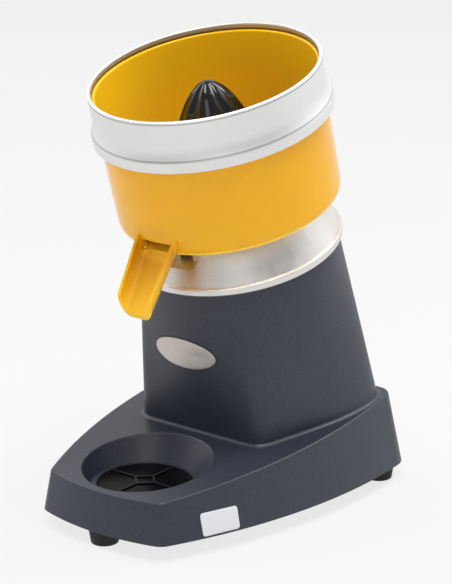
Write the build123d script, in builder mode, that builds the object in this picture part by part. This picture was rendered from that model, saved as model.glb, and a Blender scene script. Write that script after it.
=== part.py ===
from build123d import *
import math
import os

os.makedirs("parts", exist_ok=True)

# Electric citrus juicer. All lengths in millimetres, +Z up, the spout faces -Y.
# The motor, bowl and reamer share one axis that leans forward. Their pieces are drawn upright in an
# axis frame, where Z runs along the motor axis, and are placed by axis_place when exported.

# Shared sizes
overrun = 1.0
seat_gap = 0.3
running_gap = 0.05
axis_tilt = 15.0
axis_foot_y = 87.0
full_turn = 360.0
half_share = 0.5
third_share = 1.0 / 3.0

# Casting: plinth and tower
foot_height = 12.0
base_front = -132.0
base_back = 132.0
front_corner_x = 58.5
front_corner_y = -123.0
side_middle_x = 99.2
side_middle_y = 42.0
rear_corner_x = 92.0
front_corner_radius = 13.0
rear_corner_radius = 24.0
plinth_draft = 11.0
plinth_block = 60.0
plinth_slope = 6.2
slope_y = -72.0
slope_z = 47.5
casting_wall = 4.5
top_edge_radius = 1.6
tower_foot_y = 53.0
tower_side_angles = [-90.0, -18.3, 0.0, 40.0, 90.0, 140.0, 180.0, 198.3]
tower_side_distances = [66.8, 76.5, 84.0, 97.0, 62.0, 97.0, 84.0, 76.5]
tower_corner_power = 20.0
tower_shares = [-0.055, 0.0, 0.36, 0.72, 1.0]
tower_count = 64
cove_radius = 3.5
cove_sink = 0.3
cove_steps = 4
flange_seat = 196.0
ledge_thickness = 6.0
ledge_hole_radius = 60.0

# Drip well and tray
well_y = -74.5
well_ledge_z = 32.6
well_ledge_radius = 40.0
well_flare_share = 0.58
well_height = 30.0
well_wall = 3.0
well_edge = 1.2
pit_radius = 35.9
pit_depth = 5.6
tray_rise = 1.0
tray_edge = 1.0
tray_rib_height = 1.1
tray_rib_width = 1.2
tray_rib_start = 9.0
tray_rib_end = 25.5
tray_dot_radius = 0.9
tray_dot_radii = [27.4, 30.0, 32.6]
tray_pan_wall = 2.0
tray_pan_depth = 3.0

# Base plate, feet and their screws
plate_thickness = 2.0
plate_gap = 0.4
foot_front_y = -119.0
foot_rear_x = 80.5
foot_rear_y = 106.5
foot_bottom_radius = 10.2
foot_top_radius = 12.0
foot_edge = 1.2
foot_bore = 2.6
foot_sink_radius = 5.2
foot_sink_depth = 6.0
boss_radius = 7.0
screw_radius = 2.2
screw_head_radius = 4.6
screw_head_height = 3.0
foot_screw_length = 16.0
vent_length = 34.0
vent_width = 3.0
vent_pitch = 9.0
vent_rows = 7
vent_y = 62.0

# Motor flange
rim_radius = 79.4
rim_height = 6.0
rim_overhang = 3.6
rim_ledge = 2.7
cone_inset = 14.0
cone_height = 28.0
rim_edge = 1.2
flange_plate = 4.0
flange_solid = 8.0
hollow_radius = 55.0
hollow_top_radius = 50.0
spigot_depth = 5.0
hub_radius = 23.0
hub_drop = 3.0
collar_radius = 18.6
collar_height = 10.0
notch_half = 19.5
notch_floor = 17.3
notch_depth = 6.0
notch_wall = 4.0
notch_corner = 8.0
slot_half = 6.3
slot_depth = 10.0
post_circle = 47.0
post_radius = 4.2
flange_screw_circle = 66.0
flange_screw_radius = 2.5
flange_screw_depth = 6.0
flange_screw_clear = 0.3
flange_head_radius = 4.2
flange_head_height = 4.0
four = 4

# Bearings, seal and shaft
bearing_outer_radius = 17.5
bearing_inner_radius = 7.5
bearing_width = 11.0
bearing_ring_outer = 14.8
bearing_ring_inner = 10.6
bearing_shield = 0.8
bearing_shield_gap = 0.3
bearing_rise = 9.0
bearing_shoulder = 12.0
circlip_height = 1.2
circlip_radial = 2.6
seal_radius = 14.5
seal_height = 7.0
seal_lip = 1.2
shaft_tail = 3.0
shaft_step_rise = 3.0
shaft_nose_radius = 6.0
shaft_nose_edge = 1.2
pin_rise = 15.0
pin_radius = 2.0
pin_length = 22.0
slinger_radius = 13.0
slinger_height = 2.0
slinger_drop = 4.0
slinger_wall = 1.5

# Stator, rotor, lower bracket and fan
stator_drop = 31.0
stator_length = 44.0
stator_radius = 52.0
air_gap = 0.5
rotor_radius = 28.0
slot_count = 18
slot_circle = 36.5
slot_radius = 2.6
slot_mouth = 2.0
coil_gap = 0.2
coil_inner = 31.5
coil_outer = 41.5
coil_height = 13.0
coil_edge = 4.0
rotor_bar_count = 20
rotor_bar_radius = 1.6
rotor_bar_circle = 24.5
rotor_end_height = 4.0
rotor_end_inner = 18.0
bolt_radius = 2.0
bolt_clear = 0.3
bolt_head_radius = 3.6
bolt_head_height = 3.0
bolt_depth = 12.0
bracket_drop = 29.0
bracket_arm_height = 7.0
bracket_arm_width = 11.0
bracket_hub_radius = 22.0
bracket_hub_floor = 3.0
bracket_foot_radius = 4.5
shaft_hole_radius = 9.0
fan_clearance = 4.0
fan_height = 11.0
fan_radius = 38.0
fan_hub_radius = 11.0
fan_disc = 2.0
fan_blade = 1.6
fan_blades = 9

# Bowl, spout and strainer
bowl_height = 105.0
bowl_top_radius = 84.6
bowl_flare = 0.5
bowl_wall = 2.8
bowl_floor = 3.2
bowl_corner = 9.0
chimney_inner = 19.0
chimney_wall = 3.0
chimney_height = 33.0
bowl_rim_edge = 1.0
rib_count = 8
rib_width = 3.0
rib_reach = 6.0
strainer_seat = 27.0
strainer_gap = 2.6
strainer_thickness = 1.4
strainer_rim = 6.0
strainer_bore_gap = 0.8
strainer_slots = 40
strainer_slot_length = 34.0
strainer_slot_width = 2.4
strainer_slot_inset = 26.0
spout_slope = 43.0
spout_root_inset = 12.5
spout_root_h = 25.7
spout_reach = 33.5
spout_root_half = 19.5
spout_end_half = 15.5
spout_depth = 11.9
spout_corner = 9.5
spout_wall = 2.5
spout_length = 74.0
outlet_half = 15.0
outlet_top = 11.6
outlet_corner = 4.0
outlet_inset = 8.5
lug_clearance = 0.6
lug_length = 10.4
lug_depth = 11.0
lug_corner = 3.0

# Splash ring
ring_lip = 5.0
ring_lip_reach = 0.7
ring_gap = 0.5
ring_wall = 1.6
ring_depth = 33.0
ring_shoulder_drop = 18.6
ring_shoulder_height = 7.2
ring_flare_round = 18.0
ring_crease_round = 1.2
ring_skirt_out = 3.2
ring_edge = 1.3

# Reamer
reamer_clearance = 7.6
reamer_height = 65.8
reamer_socket = 33.0
reamer_skirt_radius = 37.0
reamer_depth_shares = [0.0, 0.046, 0.152, 0.38, 0.684, 0.912]
reamer_radius_shares = [0.035, 0.20, 0.392, 0.640, 0.850, 0.970]
reamer_ribs = 10
flute_width_share = 0.62
flute_sink_share = 0.095
flute_depth_shares = [0.015, 0.152, 0.38, 0.684, 1.094]
flute_radius_shares = [0.10, 0.392, 0.640, 0.850, 1.04]
flute_leans = [58.0, 45.0, 29.0, 20.0, 14.0]
reamer_cup_radius = 24.5
reamer_cup_height = 9.0
reamer_slot_gap = 0.3

# Switch, cord inlet and wiring pieces
switch_x = 46.0
switch_z = 47.0
bezel_width = 19.0
bezel_length = 31.0
bezel_height = 2.2
bezel_corner = 2.5
switch_body_width = 14.6
switch_body_length = 27.4
switch_body_depth = 18.0
switch_wall = 1.2
switch_tab_width = 5.0
switch_tab_thickness = 0.8
switch_tab_length = 8.0
switch_tab_step = 7.0
rocker_width = 11.4
rocker_radius = 12.2
rocker_pivot = -4.0
rocker_end_rise = 3.0
rocker_middle_rise = 0.8
rocker_cut = 7.0
rocker_lean = 8.0
gland_x = -46.0
gland_z = 47.0
gland_radius = 7.6
gland_gap = 0.2
gland_flange_radius = 11.0
gland_flange_height = 3.0
gland_bore = 4.0
gland_length = 18.0
gland_nut_radius = 11.0
gland_nut_height = 5.0
capacitor_x = -48.0
capacitor_y = 52.0
capacitor_radius = 14.0
capacitor_length = 42.0
capacitor_edge = 1.5
clip_height = 12.0
clip_thickness = 1.2
clip_foot = 9.0
clip_width = 10.0
terminal_x = 46.0
terminal_y = 48.0
terminal_length = 36.0
terminal_width = 18.0
terminal_height = 13.0
terminal_step = 5.0
terminal_pole_radius = 3.0
terminal_poles = 4
terminal_pitch = 8.0
terminal_pole_depth = 6.0

# Values worked out from the ones above
tilt_sin = math.sin(math.radians(axis_tilt))
tilt_cos = math.cos(math.radians(axis_tilt))
slope_tan = math.tan(math.radians(plinth_slope))
draft_tan = math.tan(math.radians(plinth_draft))
axis_plane = Plane(origin=(0, axis_foot_y, 0), x_dir=(1, 0, 0), z_dir=(0, -tilt_sin, tilt_cos))
axis_place = Location(axis_plane)
slope_normal = (0, -math.sin(math.radians(plinth_slope)), math.cos(math.radians(plinth_slope)))
top_plane = Plane(origin=(0, slope_y, slope_z), x_dir=(1, 0, 0), z_dir=slope_normal)
plate_top = foot_height + plate_thickness
bowl_seat = flange_seat + rim_height + cone_height
bowl_top = bowl_seat + bowl_height
bowl_floor_h = bowl_seat + bowl_floor
bowl_bottom_radius = bowl_top_radius - bowl_flare
lip_top = bowl_top + ring_lip
collar_top = bowl_seat + collar_height
hollow_top = bowl_seat - flange_plate
cone_foot_radius = rim_radius - rim_ledge
cone_top_radius = cone_foot_radius - cone_inset
notch_h = flange_seat + notch_floor
notch_inner = cone_top_radius - notch_depth
slot_inner = notch_inner - slot_depth
upper_bearing_h = flange_seat + bearing_rise
stator_high = flange_seat - stator_drop
stator_low = stator_high - stator_length
bracket_low = stator_low - bracket_drop
lower_bearing_h = bracket_low + bracket_hub_floor
fan_low = bracket_low - bolt_head_height - fan_clearance - fan_height
strainer_h = bowl_seat + strainer_seat
reamer_base = strainer_h + strainer_thickness + reamer_clearance
reamer_tip = reamer_base + reamer_height
shaft_nose_h = reamer_base + reamer_socket
pin_h = reamer_base + pin_rise
foot_spots = [(0, foot_front_y), (foot_rear_x, foot_rear_y), (-foot_rear_x, foot_rear_y)]
tower_top_radius = rim_radius - rim_overhang
tower_top_y = axis_foot_y - flange_seat * tilt_sin
tower_top_z = flange_seat * tilt_cos
tower_foot_z = slope_z + slope_tan * (tower_foot_y - slope_y)
tower_rise = math.hypot(tower_top_y - tower_foot_y, tower_top_z - tower_foot_z)


def tower_radius(angle, share, inset):
    """Outline radius at an angle: a rounded polygon at the foot, blending to a circle at the top."""
    total = 0.0
    for side, distance in zip(tower_side_angles, tower_side_distances):
        facing = math.cos(math.radians(angle - side))
        if facing > 0:
            total += (facing / (distance - inset)) ** tower_corner_power
    polygon = total ** (-1 / tower_corner_power)
    return polygon * (1 - share) + (tower_top_radius - inset) * share


def tower_plane(share, drop):
    """Plane of one tower section, turning from the plinth's slope to the motor axis."""
    lean = math.radians(plinth_slope + (axis_tilt - plinth_slope) * share)
    y = tower_foot_y + (tower_top_y - tower_foot_y) * share
    z = tower_foot_z + (tower_top_z - tower_foot_z) * share
    normal = (0, -math.sin(lean), math.cos(lean))
    return Plane(origin=(0, y, z), x_dir=(1, 0, 0), z_dir=normal).offset(-drop)


def tower_points(share, inset):
    """Points of one tower section in its own plane."""
    points = []
    for i in range(tower_count):
        angle = full_turn * i / tower_count
        radius = tower_radius(angle, share, inset)
        points.append((radius * math.cos(math.radians(angle)), radius * math.sin(math.radians(angle))))
    return points


def wall_radius(h):
    """Inner radius of the bowl's flared wall at a height along the axis."""
    return bowl_bottom_radius - bowl_wall + bowl_flare * (h - bowl_floor_h) / (bowl_top - bowl_floor_h)


def back_plane(x, z):
    """Plane on the plinth's drafted back wall, facing out."""
    y = base_back - (z - foot_height) * draft_tan
    lean = math.radians(plinth_draft)
    return Plane(origin=(x, y, z), x_dir=(-1, 0, 0), z_dir=(0, math.cos(lean), math.sin(lean)))


def turned(points, rounds=()):
    """Solid turned about Z from (radius, height) points; rounds lists (point, radius) pairs."""
    with BuildPart() as solid:
        with BuildSketch(Plane.XZ) as profile:
            with BuildLine():
                Polyline(*points, close=True)
            make_face()
            for point, radius in rounds:
                fillet(profile.vertices().sort_by_distance((*point, 0))[0], radius)
        revolve(axis=Axis.Z)
    return solid.part


def export(part, name):
    """Label a finished node and write its STEP file."""
    part.label = name
    export_step(part, "parts/" + name + ".step")


switch_plane = back_plane(switch_x, switch_z)
gland_plane = back_plane(gland_x, gland_z)

# Plan of the plinth: bowed front, sides that widen to the back, straight back
with BuildSketch(Plane.XY.offset(foot_height)) as plinth_outline:
    with BuildLine():
        ThreePointArc((-front_corner_x, front_corner_y), (0, base_front), (front_corner_x, front_corner_y))
        ThreePointArc((front_corner_x, front_corner_y), (side_middle_x, side_middle_y),
                      (rear_corner_x, base_back))
        Line((rear_corner_x, base_back), (-rear_corner_x, base_back))
        ThreePointArc((-rear_corner_x, base_back), (-side_middle_x, side_middle_y),
                      (-front_corner_x, front_corner_y))
    make_face()


def plinth_plan(inset):
    """Plan of the plinth drawn in by an inset, its corners rounded to the same radii every time."""
    with BuildSketch(Plane.XY.offset(foot_height)) as plan:
        add(plinth_outline.sketch)
        if inset > 0:
            offset(amount=-inset, mode=Mode.REPLACE)
        fillet(plan.vertices().group_by(Axis.Y)[0], front_corner_radius)
        fillet(plan.vertices().group_by(Axis.Y)[-1], rear_corner_radius)
    return plan.sketch


# Space inside the plinth, round the drip well and the screw bosses
with BuildPart() as plinth_space:
    add(plinth_plan(casting_wall))
    extrude(amount=plinth_block, taper=plinth_draft)
    split(bisect_by=top_plane.offset(-casting_wall), keep=Keep.BOTTOM)
    with Locations((0, well_y, well_ledge_z - pit_depth - well_wall)):
        Cone(pit_radius + well_wall, pit_radius + well_wall + well_height * well_flare_share + pit_depth,
             well_height + pit_depth, align=(Align.CENTER, Align.CENTER, Align.MIN), mode=Mode.SUBTRACT)
    with Locations(*[(x, y, plate_top) for x, y in foot_spots]):
        Cylinder(boss_radius, plinth_block, align=(Align.CENTER, Align.CENTER, Align.MIN),
                 mode=Mode.SUBTRACT)

# Space inside the tower, open to the plinth below and closed by the ledge above
with BuildPart() as tower_space:
    for share in tower_shares:
        with BuildSketch(tower_plane(share, (1 - share) * casting_wall + share * ledge_thickness)):
            with BuildLine():
                Spline(*tower_points(share, casting_wall), periodic=True)
            make_face()
    loft()

# Cove that eases the tower's foot onto the plinth, trimmed where it would pass the plinth's top edge
with BuildPart() as tower_cove:
    for step in range(cove_steps + 1):
        turn = math.radians(full_turn / four * step / cove_steps)
        share = cove_radius * (1 - math.cos(turn)) / tower_rise
        spread = (cove_radius + cove_sink) * (1 - math.sin(turn)) - cove_sink
        with BuildSketch(tower_plane(share, 0)):
            with BuildLine():
                Spline(*tower_points(share, -spread), periodic=True)
            make_face()
    loft()
    extrude(tower_cove.faces().sort_by(Axis.Z)[0], amount=overrun)
    add(plinth_plan(top_edge_radius + cove_sink))
    extrude(amount=plinth_block, taper=plinth_draft, mode=Mode.INTERSECT)

with BuildPart() as body_casting:
    add(plinth_plan(0))
    extrude(amount=plinth_block, taper=plinth_draft)
    split(bisect_by=top_plane, keep=Keep.BOTTOM)
    fillet(body_casting.faces().sort_by(Axis.Z)[-1].edges(), top_edge_radius)
    with Locations((0, well_y, well_ledge_z)):
        Cone(well_ledge_radius, well_ledge_radius + well_height * well_flare_share, well_height,
             align=(Align.CENTER, Align.CENTER, Align.MIN), mode=Mode.SUBTRACT)
    fillet(body_casting.edges(Select.LAST).sort_by(Axis.Z)[-1], well_edge)
    for share in tower_shares:
        with BuildSketch(tower_plane(share, 0)):
            with BuildLine():
                Spline(*tower_points(share, 0), periodic=True)
            make_face()
    loft()
    add(tower_cove.part)
    add(plinth_space.part, mode=Mode.SUBTRACT)
    add(tower_space.part, mode=Mode.SUBTRACT)
    with BuildSketch(axis_plane.offset(flange_seat)):
        Circle(ledge_hole_radius)
    extrude(amount=-ledge_thickness - overrun, mode=Mode.SUBTRACT)
    with BuildSketch(axis_plane.offset(flange_seat)):
        with PolarLocations(flange_screw_circle, four, start_angle=full_turn / four * half_share):
            Circle(flange_screw_radius + flange_screw_clear)
    extrude(amount=-ledge_thickness - overrun, mode=Mode.SUBTRACT)
    with Locations((0, well_y, well_ledge_z)):
        Cylinder(pit_radius, pit_depth, align=(Align.CENTER, Align.CENTER, Align.MAX), mode=Mode.SUBTRACT)
    with BuildSketch(Plane.XY.offset(plate_top)):
        with Locations(*foot_spots):
            Circle(screw_radius)
    extrude(amount=foot_screw_length - plate_thickness, mode=Mode.SUBTRACT)
    with BuildSketch(switch_plane):
        Rectangle(switch_body_width + seat_gap, switch_body_length + seat_gap)
    extrude(amount=casting_wall * 2, both=True, mode=Mode.SUBTRACT)
    with BuildSketch(gland_plane):
        Circle(gland_radius + gland_gap)
    extrude(amount=casting_wall * 2, both=True, mode=Mode.SUBTRACT)
export(body_casting.part, "body_casting")

# Base plate: closes the plinth from below, with vent slots under the motor
with BuildPart() as base_plate:
    with BuildSketch(Plane.XY.offset(foot_height)):
        add(plinth_plan(casting_wall + plate_gap))
        with Locations(*foot_spots):
            Circle(screw_radius + seat_gap, mode=Mode.SUBTRACT)
        with Locations((0, vent_y)):
            with GridLocations(vent_length, vent_pitch, 1, vent_rows):
                SlotOverall(vent_length, vent_width, mode=Mode.SUBTRACT)
    extrude(amount=plate_thickness)
export(base_plate.part, "base_plate")

# Feet and their screws
foot_blank = turned([(foot_bore, foot_sink_depth), (foot_sink_radius, foot_sink_depth),
                     (foot_sink_radius, 0), (foot_bottom_radius, 0), (foot_top_radius, foot_height),
                     (foot_bore, foot_height)],
                    [((foot_bottom_radius, 0), foot_edge)])
with BuildPart() as feet:
    with Locations(*foot_spots):
        add(foot_blank)
export(feet.part, "feet")

foot_screw_blank = turned([(0, foot_sink_depth - screw_head_height),
                           (screw_head_radius, foot_sink_depth - screw_head_height),
                           (screw_head_radius, foot_sink_depth),
                           (screw_radius - running_gap, foot_sink_depth),
                           (screw_radius - running_gap, foot_height + foot_screw_length - overrun),
                           (0, foot_height + foot_screw_length - overrun)])
with BuildPart() as foot_screws:
    with Locations(*foot_spots):
        add(foot_screw_blank)
export(foot_screws.part, "foot_screws")

# Drip tray: a shallow pan whose flat top carries four spokes, a small square and rows of dots
tray_radius = pit_radius - plate_gap
tray_low = well_ledge_z - pit_depth
tray_top = well_ledge_z + tray_rise
tray_blank = turned([(0, tray_low + tray_pan_depth),
                     (tray_radius - tray_pan_wall, tray_low + tray_pan_depth),
                     (tray_radius - tray_pan_wall, tray_low), (tray_radius, tray_low),
                     (tray_radius, tray_top), (0, tray_top)], [((tray_radius, tray_top), tray_edge)])
tray_rib_length = tray_rib_end - tray_rib_start
with BuildPart() as drip_tray:
    add(tray_blank)
    with BuildSketch(Plane.XY.offset(tray_top)):
        with PolarLocations(tray_rib_start + tray_rib_length * half_share, four):
            SlotOverall(tray_rib_length, tray_rib_width)
        for dot_radius in tray_dot_radii:
            with PolarLocations(dot_radius, four):
                Circle(tray_dot_radius)
        RegularPolygon(tray_rib_start + tray_rib_width, four)
        RegularPolygon(tray_rib_start - tray_rib_width * half_share, four, mode=Mode.SUBTRACT)
    extrude(amount=tray_rib_height)
export(drip_tray.part.moved(Location((0, well_y, 0))), "drip_tray")

# Motor flange: rim, cone and hub in one turned casting, with a pocket for the bowl's lug in front
flange_blank = turned([(0, flange_seat), (rim_radius, flange_seat), (rim_radius, flange_seat + rim_height),
                       (cone_foot_radius, flange_seat + rim_height), (cone_top_radius, bowl_seat),
                       (collar_radius, bowl_seat), (collar_radius, collar_top), (0, collar_top)],
                      [((rim_radius, flange_seat), rim_edge),
                       ((rim_radius, flange_seat + rim_height), rim_edge)])
spigot_blank = turned([(hollow_radius, flange_seat - spigot_depth),
                       (ledge_hole_radius - seat_gap, flange_seat - spigot_depth),
                       (ledge_hole_radius - seat_gap, flange_seat), (hollow_radius, flange_seat)])
flange_hollow_blank = turned([(hub_radius, flange_seat - overrun), (hollow_radius, flange_seat - overrun),
                              (hollow_radius, flange_seat + flange_solid), (hollow_top_radius, hollow_top),
                              (hub_radius, hollow_top)])
hub_bore = turned([(0, flange_seat - hub_drop - overrun),
                   (bearing_outer_radius, flange_seat - hub_drop - overrun),
                   (bearing_outer_radius, upper_bearing_h + bearing_width),
                   (bearing_shoulder, upper_bearing_h + bearing_width),
                   (bearing_shoulder, collar_top - seal_height), (seal_radius, collar_top - seal_height),
                   (seal_radius, collar_top + overrun), (0, collar_top + overrun)])
with BuildPart() as flange_hollow:
    add(flange_hollow_blank)
    with Locations((0, notch_wall - slot_inner, notch_h - notch_wall)):
        Box((notch_half + notch_wall) * 2, hollow_radius, cone_height, mode=Mode.SUBTRACT,
            align=(Align.CENTER, Align.MAX, Align.MIN))

post_low = stator_high
with BuildPart() as motor_flange:
    add(flange_blank)
    add(spigot_blank)
    with BuildSketch(Plane.XY.offset(flange_seat - hub_drop)):
        Circle(hub_radius)
    extrude(amount=hub_drop + overrun)
    add(flange_hollow.part, mode=Mode.SUBTRACT)
    with BuildSketch(Plane.XY.offset(post_low)):
        with PolarLocations(post_circle, four, start_angle=full_turn / four * half_share):
            Circle(post_radius)
    extrude(amount=hollow_top - post_low + overrun)
    add(hub_bore, mode=Mode.SUBTRACT)
    with BuildSketch(Plane.XZ.offset(notch_inner)) as notch:
        with Locations((0, notch_h)):
            Rectangle(notch_half * 2, cone_height * 2, align=(Align.CENTER, Align.MIN))
        fillet(notch.vertices().group_by(Axis.Y)[0], notch_corner)
    extrude(amount=rim_radius - notch_inner, mode=Mode.SUBTRACT)
    with Locations((0, -slot_inner, notch_h)):
        Box(slot_half * 2, notch_inner - slot_inner + overrun, cone_height, mode=Mode.SUBTRACT,
            align=(Align.CENTER, Align.MAX, Align.MIN))
    with BuildSketch(Plane.XY.offset(flange_seat)):
        with PolarLocations(flange_screw_circle, four, start_angle=full_turn / four * half_share):
            Circle(flange_screw_radius)
    extrude(amount=flange_screw_depth, mode=Mode.SUBTRACT)
    with BuildSketch(Plane.XY.offset(post_low)):
        with PolarLocations(post_circle, four, start_angle=full_turn / four * half_share):
            Circle(bolt_radius)
    extrude(amount=bolt_depth + overrun, mode=Mode.SUBTRACT)
export(axis_place * motor_flange.part, "motor_flange")

flange_screw_tip = flange_seat + flange_screw_depth - overrun
flange_screw_blank = turned([(0, flange_seat - ledge_thickness - flange_head_height),
                             (flange_head_radius, flange_seat - ledge_thickness - flange_head_height),
                             (flange_head_radius, flange_seat - ledge_thickness),
                             (flange_screw_radius - running_gap, flange_seat - ledge_thickness),
                             (flange_screw_radius - running_gap, flange_screw_tip),
                             (0, flange_screw_tip)])
with BuildPart() as flange_screws:
    with PolarLocations(flange_screw_circle, four, start_angle=full_turn / four * half_share):
        add(flange_screw_blank)
export(axis_place * flange_screws.part, "flange_screws")

# Bearings: outer rings with shields, inner rings on the shaft
outer_profile_radius = bearing_outer_radius - running_gap
inner_profile_radius = bearing_ring_inner + bearing_shield_gap
outer_ring = turned([(bearing_ring_outer, bearing_shield), (inner_profile_radius, bearing_shield),
                     (inner_profile_radius, 0), (outer_profile_radius, 0),
                     (outer_profile_radius, bearing_width), (inner_profile_radius, bearing_width),
                     (inner_profile_radius, bearing_width - bearing_shield),
                     (bearing_ring_outer, bearing_width - bearing_shield)])
inner_ring = turned([(bearing_inner_radius, 0), (bearing_ring_inner, 0),
                     (bearing_ring_inner, bearing_width), (bearing_inner_radius, bearing_width)])
export(axis_place * Location((0, 0, upper_bearing_h)) * outer_ring, "upper_bearing_outer")
export(axis_place * Location((0, 0, upper_bearing_h)) * inner_ring, "upper_bearing_inner")
export(axis_place * Location((0, 0, lower_bearing_h)) * outer_ring, "lower_bearing_outer")
export(axis_place * Location((0, 0, lower_bearing_h)) * inner_ring, "lower_bearing_inner")

circlip_low = upper_bearing_h - circlip_height
circlip_blank = turned([(outer_profile_radius - circlip_radial, circlip_low),
                        (outer_profile_radius, circlip_low), (outer_profile_radius, upper_bearing_h),
                        (outer_profile_radius - circlip_radial, upper_bearing_h)])
with BuildPart() as bearing_circlip:
    add(circlip_blank)
    with Locations((0, -outer_profile_radius, circlip_low)):
        Box(bearing_width, circlip_radial * 2 + overrun, circlip_height * 2, mode=Mode.SUBTRACT)
export(axis_place * bearing_circlip.part, "bearing_circlip")

seal_low = collar_top - seal_height
seal_inner = bearing_inner_radius + running_gap
shaft_seal = turned([(bearing_shoulder, seal_low), (seal_radius - running_gap, seal_low),
                     (seal_radius - running_gap, seal_low + seal_height),
                     (bearing_inner_radius + seal_lip * 2, seal_low + seal_height),
                     (seal_inner, seal_low + seal_height * half_share),
                     (seal_inner, seal_low + seal_height * third_share),
                     (seal_inner + seal_lip, seal_low + seal_lip), (bearing_shoulder, seal_low + seal_lip)])
export(axis_place * shaft_seal, "shaft_seal")

# Rotor: shaft, core, fan, drive pin and slinger turn together
shaft_radius = bearing_inner_radius - running_gap
shaft_low = fan_low - shaft_tail
shaft_step_h = collar_top + shaft_step_rise
shaft_blank = turned([(0, shaft_low), (shaft_radius, shaft_low), (shaft_radius, shaft_step_h),
                      (shaft_nose_radius, shaft_step_h), (shaft_nose_radius, shaft_nose_h),
                      (0, shaft_nose_h)],
                     [((shaft_nose_radius, shaft_nose_h), shaft_nose_edge)])
with BuildPart() as rotor_shaft:
    add(shaft_blank)
    with Locations((0, 0, pin_h)):
        Cylinder(pin_radius, shaft_nose_radius * 2 + overrun, rotation=(0, 90, 0), mode=Mode.SUBTRACT)
export(axis_place * rotor_shaft.part, "rotor_shaft")

with BuildPart() as drive_pin:
    with Locations((0, 0, pin_h)):
        Cylinder(pin_radius - running_gap, pin_length, rotation=(0, 90, 0))
export(axis_place * drive_pin.part, "drive_pin")

slinger_h = collar_top + seat_gap + slinger_drop
slinger = turned([(shaft_nose_radius + running_gap, slinger_h), (slinger_radius - slinger_wall, slinger_h),
                  (slinger_radius - slinger_wall, slinger_h - slinger_drop + slinger_wall),
                  (slinger_radius, slinger_h - slinger_drop + slinger_wall),
                  (slinger_radius, slinger_h + slinger_wall),
                  (shaft_nose_radius + slinger_wall, slinger_h + slinger_height),
                  (shaft_nose_radius + running_gap, slinger_h + slinger_height)])
export(axis_place * slinger, "slinger")

core_radius = rotor_radius - air_gap
with BuildPart() as rotor_core:
    with BuildSketch(Plane.XY.offset(stator_low)):
        Circle(core_radius)
        Circle(bearing_inner_radius, mode=Mode.SUBTRACT)
        with PolarLocations(rotor_bar_circle, rotor_bar_count):
            Circle(rotor_bar_radius, mode=Mode.SUBTRACT)
    extrude(amount=stator_high - stator_low)
export(axis_place * rotor_core.part, "rotor_core")

with BuildPart() as rotor_cage:
    with BuildSketch(Plane.XY.offset(stator_low)):
        with PolarLocations(rotor_bar_circle, rotor_bar_count):
            Circle(rotor_bar_radius - running_gap)
    extrude(amount=stator_high - stator_low)
    with BuildSketch(Plane.XY.offset(stator_low - rotor_end_height), Plane.XY.offset(stator_high)):
        Circle(core_radius)
        Circle(rotor_end_inner, mode=Mode.SUBTRACT)
    extrude(amount=rotor_end_height)
export(axis_place * rotor_cage.part, "rotor_cage")

with BuildPart() as cooling_fan:
    with BuildSketch(Plane.XY.offset(fan_low)):
        Circle(fan_radius)
        Circle(bearing_inner_radius, mode=Mode.SUBTRACT)
    extrude(amount=fan_disc)
    with BuildSketch(Plane.XY.offset(fan_low)):
        Circle(fan_hub_radius)
        Circle(bearing_inner_radius, mode=Mode.SUBTRACT)
    extrude(amount=fan_height)
    with PolarLocations((fan_hub_radius + fan_radius) * half_share, fan_blades):
        with Locations((0, 0, fan_low + fan_disc)):
            Box(fan_radius - fan_hub_radius - fan_blade, fan_blade, fan_height - fan_disc,
                align=(Align.CENTER, Align.CENTER, Align.MIN))
export(axis_place * cooling_fan.part, "cooling_fan")

# Stator hangs from the flange's posts on four long bolts
with BuildPart() as stator_core:
    with BuildSketch(Plane.XY.offset(stator_low)):
        Circle(stator_radius)
        Circle(rotor_radius, mode=Mode.SUBTRACT)
        with PolarLocations(slot_circle, slot_count):
            Circle(slot_radius, mode=Mode.SUBTRACT)
        with PolarLocations((rotor_radius + slot_circle) * half_share, slot_count):
            Rectangle(slot_circle - rotor_radius + overrun, slot_mouth, mode=Mode.SUBTRACT)
        with PolarLocations(post_circle, four, start_angle=full_turn / four * half_share):
            Circle(bolt_radius + bolt_clear, mode=Mode.SUBTRACT)
    extrude(amount=stator_high - stator_low)
export(axis_place * stator_core.part, "stator_core")

coil_upper = turned([(coil_inner, stator_high), (coil_outer, stator_high),
                     (coil_outer, stator_high + coil_height), (coil_inner, stator_high + coil_height)],
                    [((coil_outer, stator_high + coil_height), coil_edge),
                     ((coil_inner, stator_high + coil_height), coil_edge)])
coil_lower = turned([(coil_inner, stator_low), (coil_outer, stator_low),
                     (coil_outer, stator_low - coil_height), (coil_inner, stator_low - coil_height)],
                    [((coil_outer, stator_low - coil_height), coil_edge),
                     ((coil_inner, stator_low - coil_height), coil_edge)])
with BuildPart() as stator_windings:
    add(coil_upper)
    add(coil_lower)
    with BuildSketch(Plane.XY.offset(stator_low)):
        with PolarLocations(slot_circle, slot_count):
            Circle(slot_radius - coil_gap)
    extrude(amount=stator_high - stator_low)
export(axis_place * stator_windings.part, "stator_windings")

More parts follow.
